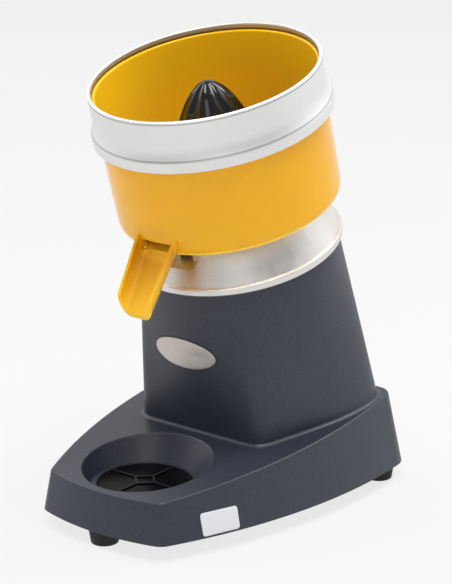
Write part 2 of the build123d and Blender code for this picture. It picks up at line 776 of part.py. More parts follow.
bracket_hub_height = bracket_hub_floor + bearing_width
bracket_bore = turned([(0, bracket_low - overrun), (shaft_hole_radius, bracket_low - overrun),
                       (shaft_hole_radius, lower_bearing_h), (bearing_outer_radius, lower_bearing_h),
                       (bearing_outer_radius, lower_bearing_h + bearing_width + overrun),
                       (0, lower_bearing_h + bearing_width + overrun)])
with BuildPart() as lower_bracket:
    with Locations((0, 0, bracket_low)):
        Cylinder(bracket_hub_radius, bracket_hub_height, align=(Align.CENTER, Align.CENTER, Align.MIN))
    with PolarLocations(post_circle * half_share, four, start_angle=full_turn / four * half_share):
        with Locations((0, 0, bracket_low)):
            Box(post_circle, bracket_arm_width, bracket_arm_height,
                align=(Align.CENTER, Align.CENTER, Align.MIN))
    with PolarLocations(post_circle, four, start_angle=full_turn / four * half_share):
        with Locations((0, 0, bracket_low)):
            Cylinder(bracket_foot_radius, stator_low - bracket_low,
                     align=(Align.CENTER, Align.CENTER, Align.MIN))
            Cylinder(bracket_arm_width * half_share, bracket_arm_height,
                     align=(Align.CENTER, Align.CENTER, Align.MIN))
    with PolarLocations(post_circle, four, start_angle=full_turn / four * half_share):
        Cylinder(bolt_radius + bolt_clear, bowl_seat, align=(Align.CENTER, Align.CENTER, Align.MIN),
                 mode=Mode.SUBTRACT)
    add(bracket_bore, mode=Mode.SUBTRACT)
export(axis_place * lower_bracket.part, "lower_bracket")

bolt_low = bracket_low - bolt_head_height
bolt_blank = turned([(0, bolt_low), (bolt_head_radius, bolt_low), (bolt_head_radius, bracket_low),
                     (bolt_radius - running_gap, bracket_low),
                     (bolt_radius - running_gap, stator_high + bolt_depth), (0, stator_high + bolt_depth)])
with BuildPart() as motor_bolts:
    with PolarLocations(post_circle, four, start_angle=full_turn / four * half_share):
        add(bolt_blank)
export(axis_place * motor_bolts.part, "motor_bolts")

# Bowl: turned cup and chimney, an open spout through the wall, strainer ribs and a lug underneath
chimney_outer = chimney_inner + chimney_wall
bowl_blank = turned([(chimney_inner, bowl_seat), (bowl_bottom_radius, bowl_seat),
                     (bowl_top_radius, bowl_top), (bowl_top_radius - bowl_wall, bowl_top),
                     (bowl_bottom_radius - bowl_wall, bowl_floor_h), (chimney_outer, bowl_floor_h),
                     (chimney_outer, bowl_seat + chimney_height),
                     (chimney_inner, bowl_seat + chimney_height)],
                    [((bowl_bottom_radius, bowl_seat), bowl_corner),
                     ((bowl_bottom_radius - bowl_wall, bowl_floor_h), bowl_corner - bowl_wall),
                     ((bowl_top_radius - bowl_wall, bowl_top), bowl_rim_edge)])
bowl_inside = turned([(0, bowl_floor_h), (bowl_bottom_radius - bowl_wall, bowl_floor_h),
                      (bowl_top_radius - bowl_wall, bowl_top), (0, bowl_top)])
spout_lean = math.radians(spout_slope)
spout_plane = Plane(origin=(0, spout_root_inset - bowl_bottom_radius, bowl_seat + spout_root_h),
                    x_dir=(1, 0, 0), z_dir=(0, -math.cos(spout_lean), -math.sin(spout_lean)))
spout_spots = [(0, spout_root_half), (spout_length, spout_end_half)]
with BuildPart() as spout:
    for distance, half_width in spout_spots:
        with BuildSketch(spout_plane.offset(distance)) as spout_outer:
            Rectangle(half_width * 2, spout_depth, align=(Align.CENTER, Align.MAX))
            fillet(spout_outer.vertices().group_by(Axis.Y)[0], spout_corner)
    loft()
    for distance, half_width in spout_spots:
        with BuildSketch(spout_plane.offset(distance)) as spout_inner:
            with Locations((0, overrun)):
                Rectangle((half_width - spout_wall) * 2, spout_depth - spout_wall + overrun,
                          align=(Align.CENTER, Align.MAX))
            fillet(spout_inner.vertices().group_by(Axis.Y)[0], spout_corner - spout_wall)
    loft(mode=Mode.SUBTRACT)
    add(bowl_inside, mode=Mode.SUBTRACT)
    with Locations((0, -bowl_bottom_radius - spout_reach, bowl_seat)):
        Box(bowl_top_radius, bowl_top_radius, bowl_height * 2,
            align=(Align.CENTER, Align.MAX, Align.CENTER), mode=Mode.SUBTRACT)

outlet_inner = bowl_bottom_radius - outlet_inset
rib_end = wall_radius(strainer_h) + bowl_wall * half_share
rib_start = full_turn / rib_count * half_share
lug_inner = slot_inner + lug_clearance
with BuildPart() as bowl:
    add(bowl_blank)
    add(spout.part)
    with BuildSketch(Plane.XZ.offset(outlet_inner)) as outlet:
        with Locations((0, bowl_floor_h)):
            Rectangle(outlet_half * 2, outlet_top - bowl_floor, align=(Align.CENTER, Align.MIN))
        fillet(outlet.vertices().group_by(Axis.Y)[-1], outlet_corner)
    extrude(amount=bowl_top_radius - outlet_inner + overrun, mode=Mode.SUBTRACT)
    with BuildSketch(Plane.XY.offset(bowl_seat + bowl_corner)):
        with PolarLocations(rib_end - rib_reach * half_share, rib_count, start_angle=rib_start):
            Rectangle(rib_reach, rib_width)
    extrude(amount=strainer_seat - bowl_corner)
    with BuildSketch(Plane.XY.offset(bowl_seat + overrun)) as lug:
        with Locations((0, -lug_inner)):
            Rectangle((slot_half - seat_gap) * 2, lug_length, align=(Align.CENTER, Align.MAX))
        fillet(lug.vertices(), lug_corner)
    extrude(amount=-lug_depth - overrun)
export(axis_place * bowl.part, "bowl")

# Strainer: slotted disc on the ribs, with an upstand at its edge and round the chimney
strainer_bore = chimney_outer + strainer_bore_gap
strainer_radius = wall_radius(strainer_h) - strainer_gap
with BuildPart() as strainer:
    with BuildSketch(Plane.XY.offset(strainer_h)):
        Circle(strainer_radius)
        Circle(strainer_bore, mode=Mode.SUBTRACT)
        with PolarLocations(strainer_radius - strainer_slot_inset, strainer_slots):
            SlotOverall(strainer_slot_length, strainer_slot_width, mode=Mode.SUBTRACT)
    extrude(amount=strainer_thickness)
    with BuildSketch(Plane.XY.offset(strainer_h)):
        Circle(strainer_radius)
        Circle(strainer_radius - strainer_thickness, mode=Mode.SUBTRACT)
    extrude(amount=strainer_rim)
export(axis_place * strainer.part, "strainer")

# Splash ring: band with a turned-in lip that rests on the bowl's rim
ring_inner = bowl_top_radius + ring_gap
ring_outer = ring_inner + ring_wall
ring_lip_inner = bowl_top_radius - ring_lip_reach
ring_bottom = bowl_top - ring_depth
ring_shoulder_high = bowl_top - ring_shoulder_drop
ring_shoulder_low = ring_shoulder_high - ring_shoulder_height
splash_ring = turned([(ring_lip_inner, bowl_top), (ring_lip_inner, lip_top), (ring_outer, lip_top),
                      (ring_outer, ring_shoulder_high), (ring_outer + ring_skirt_out, ring_shoulder_low),
                      (ring_outer + ring_skirt_out, ring_bottom),
                      (ring_inner + ring_skirt_out, ring_bottom),
                      (ring_inner + ring_skirt_out, ring_shoulder_low - ring_wall),
                      (ring_inner, ring_shoulder_high - ring_wall), (ring_inner, bowl_top)],
                     [((ring_outer, lip_top), ring_edge), ((ring_lip_inner, lip_top), ring_edge),
                      ((ring_outer, ring_shoulder_high), ring_flare_round),
                      ((ring_outer + ring_skirt_out, ring_shoulder_low), ring_crease_round),
                      ((ring_inner, ring_shoulder_high - ring_wall), ring_flare_round + ring_wall)])
export(axis_place * splash_ring, "splash_ring")

# Reamer: a domed cone with flutes that grow with its radius and meet in sharp ribs
with BuildPart() as flute:
    for depth_share, radius_share, lean in zip(flute_depth_shares, flute_radius_shares, flute_leans):
        turn = math.radians(lean)
        radius = reamer_skirt_radius * radius_share
        reach = radius * (flute_width_share - flute_sink_share)
        h = reamer_tip - reamer_height * depth_share + reach * math.sin(turn)
        middle = (radius + reach * math.cos(turn), 0, h)
        with BuildSketch(Plane(origin=middle, x_dir=(0, 1, 0), z_dir=(math.sin(turn), 0, -math.cos(turn)))):
            Circle(radius * flute_width_share)
    loft()

with BuildPart() as reamer:
    with BuildSketch(Plane.XZ):
        with BuildLine():
            dome = []
            for depth_share, radius_share in zip(reamer_depth_shares, reamer_radius_shares):
                dome.append((reamer_skirt_radius * radius_share, reamer_tip - reamer_height * depth_share))
            Spline(*dome)
            Polyline(dome[-1], (reamer_skirt_radius, reamer_base), (0, reamer_base), (0, reamer_tip),
                     dome[0])
        make_face()
    revolve(axis=Axis.Z)
    with PolarLocations(0, reamer_ribs, start_angle=full_turn / reamer_ribs * half_share):
        add(flute.part, mode=Mode.SUBTRACT)
    with Locations((0, 0, reamer_base)):
        Cylinder(reamer_cup_radius, reamer_cup_height, align=(Align.CENTER, Align.CENTER, Align.MIN),
                 mode=Mode.SUBTRACT)
        Cylinder(shaft_nose_radius + running_gap, shaft_nose_h - reamer_base + seat_gap,
                 align=(Align.CENTER, Align.CENTER, Align.MIN), mode=Mode.SUBTRACT)
        Box(pin_length + seat_gap * 2, (pin_radius + reamer_slot_gap) * 2,
            pin_h + pin_radius + seat_gap - reamer_base, align=(Align.CENTER, Align.CENTER, Align.MIN),
            mode=Mode.SUBTRACT)
export(axis_place * reamer.part, "reamer")

# Rocker switch on the plinth's back wall
rocker_opening = (rocker_radius + seat_gap) * 2
with BuildPart() as switch_body:
    with BuildSketch(Plane.XY):
        RectangleRounded(bezel_width, bezel_length, bezel_corner)
    extrude(amount=bezel_height)
    with BuildSketch(Plane.XY):
        Rectangle(switch_body_width, switch_body_length)
    extrude(amount=-switch_body_depth)
    with BuildSketch(Plane.XY.offset(bezel_height)):
        Rectangle(rocker_width + seat_gap * 2, rocker_opening)
    extrude(amount=-bezel_height - switch_body_depth + switch_wall, mode=Mode.SUBTRACT)
    with BuildSketch(Plane.XY.offset(-switch_body_depth)):
        with GridLocations(switch_tab_step, switch_tab_step, 1, 3):
            Rectangle(switch_tab_width, switch_tab_thickness)
    extrude(amount=-switch_tab_length)
export(Location(switch_plane) * switch_body.part, "switch_body")

with BuildPart() as rocker_blank:
    with BuildSketch(Plane.YZ):
        with Locations((0, rocker_pivot)):
            Circle(rocker_radius)
        with BuildLine():
            Polyline((-rocker_radius, rocker_pivot - rocker_cut),
                     (rocker_radius, rocker_pivot - rocker_cut), (rocker_radius, rocker_end_rise),
                     (0, rocker_middle_rise), (-rocker_radius, rocker_end_rise), close=True)
        make_face(mode=Mode.INTERSECT)
    extrude(amount=rocker_width * half_share, both=True)
rocker_axis = Axis((0, 0, rocker_pivot), (1, 0, 0))
export(Location(switch_plane) * rocker_blank.part.rotate(rocker_axis, rocker_lean), "switch_rocker")

# Cord inlet: a flanged gland through the back wall and the nut that holds it inside
gland = turned([(gland_bore, -gland_length), (gland_radius, -gland_length), (gland_radius, 0),
                (gland_flange_radius, 0), (gland_flange_radius, gland_flange_height),
                (gland_bore, gland_flange_height)],
               [((gland_flange_radius, gland_flange_height), gland_flange_height * half_share)])
export(Location(gland_plane) * gland, "cord_gland")

with BuildPart() as gland_nut:
    with BuildSketch(Plane.XY.offset(-casting_wall)):
        RegularPolygon(gland_nut_radius, 6)
        Circle(gland_radius + running_gap, mode=Mode.SUBTRACT)
    extrude(amount=-gland_nut_height)
export(Location(gland_plane) * gland_nut.part, "gland_nut")

# Run capacitor with its clip, and the terminal block, on the base plate
capacitor_top = plate_top + capacitor_length
capacitor = turned([(0, plate_top), (capacitor_radius, plate_top), (capacitor_radius, capacitor_top),
                    (0, capacitor_top)], [((capacitor_radius, capacitor_top), capacitor_edge)])
export(Location((capacitor_x, capacitor_y, 0)) * capacitor, "capacitor")

clip_inner = capacitor_radius + running_gap
with BuildPart() as capacitor_clip:
    with BuildSketch(Plane.XY.offset(plate_top)):
        Circle(clip_inner + clip_thickness)
        Circle(clip_inner, mode=Mode.SUBTRACT)
    extrude(amount=clip_height)
    with BuildSketch(Plane.XY.offset(plate_top)):
        with PolarLocations(clip_inner + clip_foot * half_share, 2):
            Rectangle(clip_foot, clip_width)
        Circle(clip_inner, mode=Mode.SUBTRACT)
    extrude(amount=clip_thickness)
export(Location((capacitor_x, capacitor_y, 0)) * capacitor_clip.part, "capacitor_clip")

with BuildPart() as terminal_block:
    with Locations((terminal_x, terminal_y, plate_top)):
        Box(terminal_length, terminal_width, terminal_height - terminal_step,
            align=(Align.CENTER, Align.CENTER, Align.MIN))
        Box(terminal_length, terminal_width * half_share, terminal_height,
            align=(Align.CENTER, Align.CENTER, Align.MIN))
    with Locations((terminal_x, terminal_y, plate_top + terminal_height)):
        with GridLocations(terminal_pitch, 0, terminal_poles, 1):
            Cylinder(terminal_pole_radius, terminal_pole_depth,
                     align=(Align.CENTER, Align.CENTER, Align.MAX), mode=Mode.SUBTRACT)
export(terminal_block.part, "terminal_block")
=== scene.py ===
import math

import bpy
import numpy as np
from mathutils import Matrix, Vector


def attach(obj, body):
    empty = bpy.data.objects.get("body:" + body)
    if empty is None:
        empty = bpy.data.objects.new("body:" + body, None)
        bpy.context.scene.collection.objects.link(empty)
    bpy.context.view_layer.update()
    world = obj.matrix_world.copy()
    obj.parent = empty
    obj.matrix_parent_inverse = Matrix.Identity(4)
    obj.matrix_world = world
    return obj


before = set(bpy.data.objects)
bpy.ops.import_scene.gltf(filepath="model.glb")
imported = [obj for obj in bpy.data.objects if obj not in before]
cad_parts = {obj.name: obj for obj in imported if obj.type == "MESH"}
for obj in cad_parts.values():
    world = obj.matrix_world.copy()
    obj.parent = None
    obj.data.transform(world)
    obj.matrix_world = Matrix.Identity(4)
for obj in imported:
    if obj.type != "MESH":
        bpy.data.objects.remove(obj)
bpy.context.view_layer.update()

# Body casting: plinth and tower in one aluminium casting, with the round drip well sunk in front.
# It is shot with a dark grey powder paint, baked to a satin skin with a fine pebbled grain.
MM = 0.001
PAINT_LOW = "1c202a"
PAINT_HIGH = "2f3543"
PAINT_GRAIN = 1100.0
PAINT_CLOUD = 14.0


def tint(code):
    """Linear colour of a six-digit sRGB code, by the usual two-part curve."""
    channels = np.array([int(code[i:i + 2], 16) for i in (0, 2, 4)]) / 255
    linear = np.where(channels <= 0.04045, channels / 12.92, ((channels + 0.055) / 1.055) ** 2.4)
    return (*linear.tolist(), 1.0)


def wire(tree, kind, inputs=None, **settings):
    """Adds a node, sets its options, and links or fills each named input."""
    node = tree.nodes.new("ShaderNode" + kind)
    for name, value in settings.items():
        setattr(node, name, value)
    for name, value in (inputs or {}).items():
        if isinstance(value, bpy.types.NodeSocket):
            tree.links.new(value, node.inputs[name])
        else:
            node.inputs[name].default_value = value
    return node


def open_finish(name, **sockets):
    """New material: its node tree and its shader, with the given shader sockets filled."""
    finish = bpy.data.materials.new(name)
    finish.use_nodes = True
    tree = finish.node_tree
    shader = tree.nodes["Principled BSDF"]
    for socket, value in sockets.items():
        shader.inputs[socket.replace("_", " ").title().replace("Ior", "IOR")].default_value = value
    return finish, tree, shader


def blend_colour(tree, factor, low, high):
    """Colour that runs from low to high with the factor."""
    mix = wire(tree, "Mix", {0: factor, 6: low, 7: high}, data_type="RGBA")
    return mix.outputs[2]


def spread(tree, value, low, high, start=0.3, end=0.7):
    """Number that runs from low to high as the value goes from start to end."""
    inputs = {"Value": value, "From Min": start, "From Max": end, "To Min": low, "To Max": high}
    return wire(tree, "MapRange", inputs).outputs["Result"]


def colour_by(tree, shader, factor, low, high):
    """Base colour that runs from one sRGB code to another with the factor."""
    tree.links.new(blend_colour(tree, factor, tint(low), tint(high)), shader.inputs["Base Color"])


def rough_by(tree, shader, factor, low, high, start=0.3, end=0.7):
    """Roughness that runs from low to high as the factor goes from start to end."""
    tree.links.new(spread(tree, factor, low, high, start, end), shader.inputs["Roughness"])


def object_place(tree):
    """Object coordinates, in metres from the middle of the footprint."""
    return wire(tree, "TexCoord").outputs["Object"]


def grain(tree, place, size, detail=2.0, roughness=0.5):
    """Fractal noise of about so many grains to the metre."""
    inputs = {"Vector": place, "Scale": size, "Detail": detail, "Roughness": roughness}
    return wire(tree, "TexNoise", inputs).outputs["Fac"]


def rough_skin(tree, shader, height, depth, strength):
    """Bumps the shader's surface by a height that is depth metres from black to white."""
    bump = wire(tree, "Bump", {"Height": height, "Distance": depth, "Strength": strength})
    tree.links.new(bump.outputs["Normal"], shader.inputs["Normal"])


def coat(finish, *names):
    """Puts a finish on CAD nodes."""
    for name in names:
        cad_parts[name].material_slots[0].material = finish


paint, tree, shader = open_finish("body_powder_paint", metallic=0.0, specular_ior_level=0.55)
place = object_place(tree)
pebble = grain(tree, place, size=PAINT_GRAIN, detail=3.0, roughness=0.6)
cloud = grain(tree, place, size=PAINT_CLOUD)
speckle = spread(tree, pebble, low=0.0, high=1.0, start=0.34, end=0.66)
colour_by(tree, shader, speckle, PAINT_LOW, PAINT_HIGH)
rough_by(tree, shader, cloud, low=0.38, high=0.47)
rough_skin(tree, shader, pebble, depth=0.16 * MM, strength=0.30)
coat(paint, "body_casting")

# Oval plate on the tower: pressed aluminium, glued on and left blank.
# Its brushed field is flat and rolls over to an edge darkened by painted shade.
# Each row of its section is a share of the outline, an inset and a rise in mm, and how dark its painted
# edge shade is.
BADGE_SPOT = np.array([-2.0, -26.9, 119.4]) * MM
BADGE_FACING = np.array([0.0, -0.980, -0.201])
BADGE_BOW = 4.8
BADGE_REACH = 36 * MM
BADGE_DEPTH = 2.5 * MM
BADGE_CENTRE = BADGE_SPOT[[0, 2]]
BADGE_HALF = np.array([29.5, 12.2]) * MM
BADGE_ROWS = np.array([
    [0.0, 3.2, 0.90, 0.0], [0.5, 3.2, 0.90, 0.0], [1.0, 3.2, 0.90, 0.0], [1.0, 1.6, 0.90, 0.0],
    [1.0, 0.9, 0.88, 0.0], [1.0, 0.5, 0.80, 0.3], [1.0, 0.2, 0.66, 0.8], [1.0, 0.05, 0.45, 1.0],
    [1.0, 0.0, 0.25, 1.0], [1.0, 0.0, 0.02, 1.0], [1.0, 0.6, 0.0, 1.0], [0.0, 0.6, 0.0, 1.0]])
PLATE_TURNS = 128


def points_near(points, spot, facing, reach, depth, bow):
    """Points within reach of a spot and within depth of a sheet there, bowed by bow times x squared."""
    away = points - spot
    level = away @ facing + bow * away[:, 0] ** 2
    return points[(np.linalg.norm(away, axis=1) < reach) & (np.abs(level) < depth)]


def wall_fit(points, depth_axis, flat_axes, centre):
    """Least squares patch: depth = c0 + c1 a + c2 b + c3 a a + c4 a b + c5 b b, from the centre."""
    a, b = (points[:, flat_axes] - centre).T
    terms = np.stack([np.ones_like(a), a, b, a * a, a * b, b * b], axis=1)
    return np.linalg.lstsq(terms, points[:, depth_axis], rcond=None)[0]


def wall_place(fit, depth_axis, flat_axes, centre, a, b, rise, outward):
    """Patch point at (a, b), lifted by rise along the patch's outward normal."""
    depth = fit[0] + fit[1] * a + fit[2] * b + fit[3] * a * a + fit[4] * a * b + fit[5] * b * b
    slope_a = fit[1] + 2 * fit[3] * a + fit[4] * b
    slope_b = fit[2] + fit[4] * a + 2 * fit[5] * b
    length = np.sqrt(1 + slope_a ** 2 + slope_b ** 2)
    spots = np.zeros(a.shape + (3,))
    spots[..., depth_axis] = depth + outward * rise / length
    spots[..., flat_axes[0]] = centre[0] + a - outward * rise * slope_a / length
    spots[..., flat_axes[1]] = centre[1] + b - outward * rise * slope_b / length
    return spots


def plate_grid(outline, half, rows):
    """Plate in its own plane: each row has the outline shrunk by an inset, times a share, and a rise."""
    share, inset, rise = rows[:, 0], rows[:, 1] * MM, rows[:, 2] * MM
    a = outline[None, :, 0] * (share * (1 - inset / half[0]))[:, None]
    b = outline[None, :, 1] * (share * (1 - inset / half[1]))[:, None]
    return a, b, np.repeat(rise[:, None], outline.shape[0], axis=1)


def shell_mesh(name, spots, finish, shade_marks):
    """Closed shell of a (row, turn) grid: first and last rows shrink to one pole each, turns wrap round."""
    rows, turns = spots.shape[:2]
    body = spots[1:-1].reshape(-1, 3)
    points = np.concatenate([spots[:1, 0], body, spots[-1:, 0]])
    ring = np.arange(turns)
    after = (ring + 1) % turns
    start = 1 + turns * np.arange(rows - 3)[:, None]
    quads = np.stack([start + ring, start + turns + ring, start + turns + after, start + after], axis=2)
    last = 1 + turns * (rows - 3)
    first_fan = np.stack([np.zeros_like(ring), 1 + ring, 1 + after], axis=1)
    last_fan = np.stack([np.full_like(ring, len(points) - 1), last + after, last + ring], axis=1)
    mesh = bpy.data.meshes.new(name)
    faces = quads.reshape(-1, 4).tolist() + first_fan.tolist() + last_fan.tolist()
    mesh.from_pydata(points.tolist(), [], faces)
    mesh.polygons.foreach_set("use_smooth", np.ones(len(faces), bool))
    # Each point carries its row's share of painted edge shade.
    inner = np.repeat(shade_marks[1:-1], turns)
    values = np.concatenate([shade_marks[:1], inner, shade_marks[-1:]]).astype(np.float32)
    mesh.attributes.new("edge_shade", "FLOAT", "POINT").data.foreach_set("value", values)
    mesh.materials.append(finish)
    piece = bpy.data.objects.new(name, mesh)
    bpy.context.scene.collection.objects.link(piece)
    return piece


def node_points(name):
    """All vertices of a CAD node as one array."""
    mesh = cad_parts[name].data
    flat = np.zeros(len(mesh.vertices) * 3, np.float32)
    mesh.vertices.foreach_get("co", flat)
    return flat.reshape(-1, 3).astype(float)


plate_silver, tree, shader = open_finish("badge_satin_silver", metallic=0.85)
place = object_place(tree)
brushed = wire(tree, "Mapping", {"Vector": place, "Scale": (60.0, 1600.0, 1600.0)}).outputs["Vector"]
lines = grain(tree, brushed, size=1.0, detail=3.0)
silver = blend_colour(tree, lines, tint("bcb5ae"), tint("d8d1c9"))
edge_shade = wire(tree, "Attribute", attribute_name="edge_shade").outputs["Fac"]
# The dark edge colour is painted shade at the plate's rim.
tree.links.new(blend_colour(tree, edge_shade, silver, tint("23211f")), shader.inputs["Base Color"])
rough_by(tree, shader, lines, low=0.34, high=0.46)
rough_skin(tree, shader, lines, depth=0.04 * MM, strength=0.25)

casting_points = node_points("body_casting")
tower_front = points_near(casting_points, BADGE_SPOT, BADGE_FACING, BADGE_REACH, BADGE_DEPTH, BADGE_BOW)
front_fit = wall_fit(tower_front, 1, [0, 2], BADGE_CENTRE)
turn = np.linspace(0, 2 * math.pi, PLATE_TURNS, endpoint=False)
oval = np.stack([np.cos(turn), np.sin(turn)], axis=1) * BADGE_HALF
badge_a, badge_b, badge_rise = plate_grid(oval, BADGE_HALF, BADGE_ROWS)
badge_spots = wall_place(front_fit, 1, [0, 2], BADGE_CENTRE, badge_a, badge_b, badge_rise, -1)
badge = shell_mesh("tower_badge", badge_spots, plate_silver, BADGE_ROWS[:, 3])
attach(badge, "housing")

# Small plate on the plinth's right side: pale foil under a clear domed skin, stuck on and left blank.
# The dome is highest in the middle and rolls over to the paint at a soft edge, darkened there by painted
# shade.
LABEL_SPOT = np.array([75.0, -78.0, 21.9]) * MM
LABEL_FACING = np.array([0.925, -0.329, 0.193])
LABEL_REACH = 34 * MM
LABEL_DEPTH = 2 * MM
LABEL_BOW = 0.0
LABEL_CENTRE = LABEL_SPOT[[1, 2]]
LABEL_HALF = np.array([14.6, 8.5]) * MM
LABEL_CORNER = 2.2 * MM
LABEL_ROWS = np.array([
    [0.0, 3.0, 0.80, 0.0], [0.5, 3.0, 0.79, 0.0], [1.0, 3.0, 0.74, 0.0], [1.0, 1.6, 0.66, 0.0],
    [1.0, 0.8, 0.55, 0.0], [1.0, 0.3, 0.40, 0.0], [1.0, 0.05, 0.22, 0.3], [1.0, 0.0, 0.02, 1.0],
    [1.0, 0.6, 0.0, 1.0], [0.0, 0.6, 0.0, 1.0]])

label_pale, tree, shader = open_finish("label_pale_foil", metallic=0.0, coat_weight=0.6,
                                       coat_roughness=0.08)
place = object_place(tree)
flakes = grain(tree, place, size=1400.0, detail=1.0)
foil = blend_colour(tree, flakes, tint("c8cacf"), tint("d8dade"))
edge_shade = wire(tree, "Attribute", attribute_name="edge_shade").outputs["Fac"]
# The dark rim colour is painted shade at the label's edge.
tree.links.new(blend_colour(tree, edge_shade, foil, tint("2b2c31")), shader.inputs["Base Color"])
rough_by(tree, shader, flakes, low=0.30, high=0.38)

side_wall = points_near(casting_points, LABEL_SPOT, LABEL_FACING, LABEL_REACH, LABEL_DEPTH, LABEL_BOW)
side_fit = wall_fit(side_wall, 0, [1, 2], LABEL_CENTRE)
corner_turn = turn + math.pi / PLATE_TURNS
corner = np.stack([np.cos(corner_turn), np.sin(corner_turn)], axis=1)
rounded = np.sign(corner) * (LABEL_HALF - LABEL_CORNER) + corner * LABEL_CORNER
label_a, label_b, label_rise = plate_grid(rounded, LABEL_HALF, LABEL_ROWS)
label_spots = wall_place(side_fit, 0, [1, 2], LABEL_CENTRE, label_a, label_b, label_rise, 1)
label = shell_mesh("plinth_label", label_spots, label_pale, LABEL_ROWS[:, 3])
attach(label, "housing")

# Base plate under the plinth: zinc-plated sheet steel, punched with vent slots.
# The plating shows pale and darker crystals a few millimetres across.
zinc, tree, shader = open_finish("base_plate_zinc", metallic=1.0)
place = object_place(tree)
spangle = wire(tree, "TexVoronoi", {"Vector": place, "Scale": 260.0}).outputs["Color"]
colour_by(tree, shader, spangle, "8e9296", "b4b8ba")
rough_by(tree, shader, spangle, low=0.30, high=0.48, start=0.0, end=1.0)
coat(zinc, "base_plate")

# Feet: three tapered buttons of black rubber, each held by a screw in a sunk hole.
# The seal and the slinger on the motor shaft are moulded of the same rubber.
rubber, tree, shader = open_finish("black_rubber", metallic=0.0, specular_ior_level=0.35)
place = object_place(tree)
bloom = grain(tree, place, size=420.0, detail=4.0)
colour_by(tree, shader, bloom, "121213", "1f1f21")
rough_by(tree, shader, bloom, low=0.50, high=0.72)
rough_skin(tree, shader, bloom, depth=0.1 * MM, strength=0.3)
coat(rubber, "feet", "shaft_seal", "slinger")

# Drip tray: a loose black moulding in the well, with thin raised spokes and rows of dots.
# Its satin skin is slightly grained, and the raised lines are painted paler as a highlight.
TRAY_TOP = 33.9 * MM
TRAY_LINE = 0.5 * MM
tray_black, tree, shader = open_finish("tray_black_plastic", metallic=0.0, specular_ior_level=0.03)
place = object_place(tree)
skin = grain(tree, place, size=1100.0, detail=2.0)
height = wire(tree, "SeparateXYZ", {"Vector": place}).outputs["Z"]
# Raised lines above the tray top get a paler colour as a painted highlight.
ridge_highlight = spread(tree, height, low=0.0, high=1.0, start=TRAY_TOP, end=TRAY_TOP + TRAY_LINE)
flat = blend_colour(tree, skin, tint("050506"), tint("0b0b0d"))
tree.links.new(blend_colour(tree, ridge_highlight, flat, tint("2c2c2f")), shader.inputs["Base Color"])
rough_by(tree, shader, skin, low=0.20, high=0.30)
rough_skin(tree, shader, skin, depth=0.04 * MM, strength=0.15)
coat(tray_black, "drip_tray")

# Motor flange: rim, cone and hub in one aluminium casting, turned bright on a lathe.
# Tool lines run round the motor axis, which leans 15 degrees to the front.
AXIS_TILT = math.radians(15)
AXIS_FOOT_Y = 87 * MM


def upright_place(tree):
    """Object coordinates turned upright on the motor axis: x and y across it, z along it."""
    shift = (0.0, -AXIS_FOOT_Y * math.cos(AXIS_TILT), AXIS_FOOT_Y * math.sin(AXIS_TILT))
    inputs = {"Vector": object_place(tree), "Location": shift, "Rotation": (-AXIS_TILT, 0.0, 0.0)}
    return wire(tree, "Mapping", inputs).outputs["Vector"]


def lathe_place(tree, upright):
    """Turned coordinates: x is the distance from the motor axis, y the height along it."""
    parts = wire(tree, "SeparateXYZ", {"Vector": upright})
    level = wire(tree, "CombineXYZ", {"X": parts.outputs["X"], "Y": parts.outputs["Y"]}).outputs["Vector"]
    radius = wire(tree, "VectorMath", {0: level}, operation="LENGTH").outputs["Value"]
    return wire(tree, "CombineXYZ", {"X": radius, "Y": parts.outputs["Z"]}).outputs["Vector"]


bright, tree, shader = open_finish("flange_turned_aluminium", metallic=1.0)
upright = upright_place(tree)
lathe = lathe_place(tree, upright)
tool_lines = grain(tree, lathe, size=1500.0, detail=3.0, roughness=0.7)
haze = grain(tree, upright, size=70.0, detail=3.0)
colour_by(tree, shader, tool_lines, "dad7d3", "f4f2ef")
rough_by(tree, shader, haze, low=0.34, high=0.52)
rough_skin(tree, shader, tool_lines, depth=0.03 * MM, strength=0.35)
coat(bright, "motor_flange")

# Screws, bolts, bearings, shaft, drive pin and clips: steel, ground or plated.
# Fine machining lines and a little oil film break up the shine.
steel, tree, shader = open_finish("machine_steel", metallic=1.0)
upright = upright_place(tree)
lathe = lathe_place(tree, upright)
ground = grain(tree, lathe, size=2200.0, detail=2.0)
film = grain(tree, upright, size=160.0, detail=2.0)
colour_by(tree, shader, film, "8b8d90", "b3b5b7")
rough_by(tree, shader, ground, low=0.20, high=0.36)
rough_skin(tree, shader, ground, depth=0.02 * MM, strength=0.3)
coat(steel, "foot_screws", "flange_screws", "upper_bearing_outer", "upper_bearing_inner",
     "lower_bearing_outer", "lower_bearing_inner", "bearing_circlip", "rotor_shaft", "drive_pin",
     "motor_bolts", "capacitor_clip")

# Stator and rotor cores: stacks of half-millimetre electrical sheet, pressed and varnished.
# The sheet edges show as close dark and light lines across the motor axis.
sheets, tree, shader = open_finish("core_laminations", metallic=0.8)
lathe = lathe_place(tree, upright_place(tree))
inputs = {"Vector": lathe, "Scale": 320.0, "Distortion": 0.4, "Detail": 1.0}
stack = wire(tree, "TexWave", inputs, wave_type="BANDS", bands_direction="Y").outputs["Fac"]
colour_by(tree, shader, stack, "3f4247", "7d8187")
rough_by(tree, shader, stack, low=0.55, high=0.38, start=0.0, end=1.0)
rough_skin(tree, shader, stack, depth=0.08 * MM, strength=0.4)
coat(sheets, "stator_core", "rotor_core")

# Rotor cage and lower bearing bracket: die-cast aluminium, left as it comes from the mould.
# The skin is dull, with flow marks and fine pits.
cast, tree, shader = open_finish("die_cast_aluminium", metallic=1.0)
place = object_place(tree)
pits = grain(tree, place, size=700.0, detail=4.0)
flow = grain(tree, place, size=60.0, detail=3.0)
colour_by(tree, shader, flow, "8d8f92", "b1b3b5")
rough_by(tree, shader, pits, low=0.42, high=0.60)
rough_skin(tree, shader, pits, depth=0.1 * MM, strength=0.35)
coat(cast, "rotor_cage", "lower_bracket")

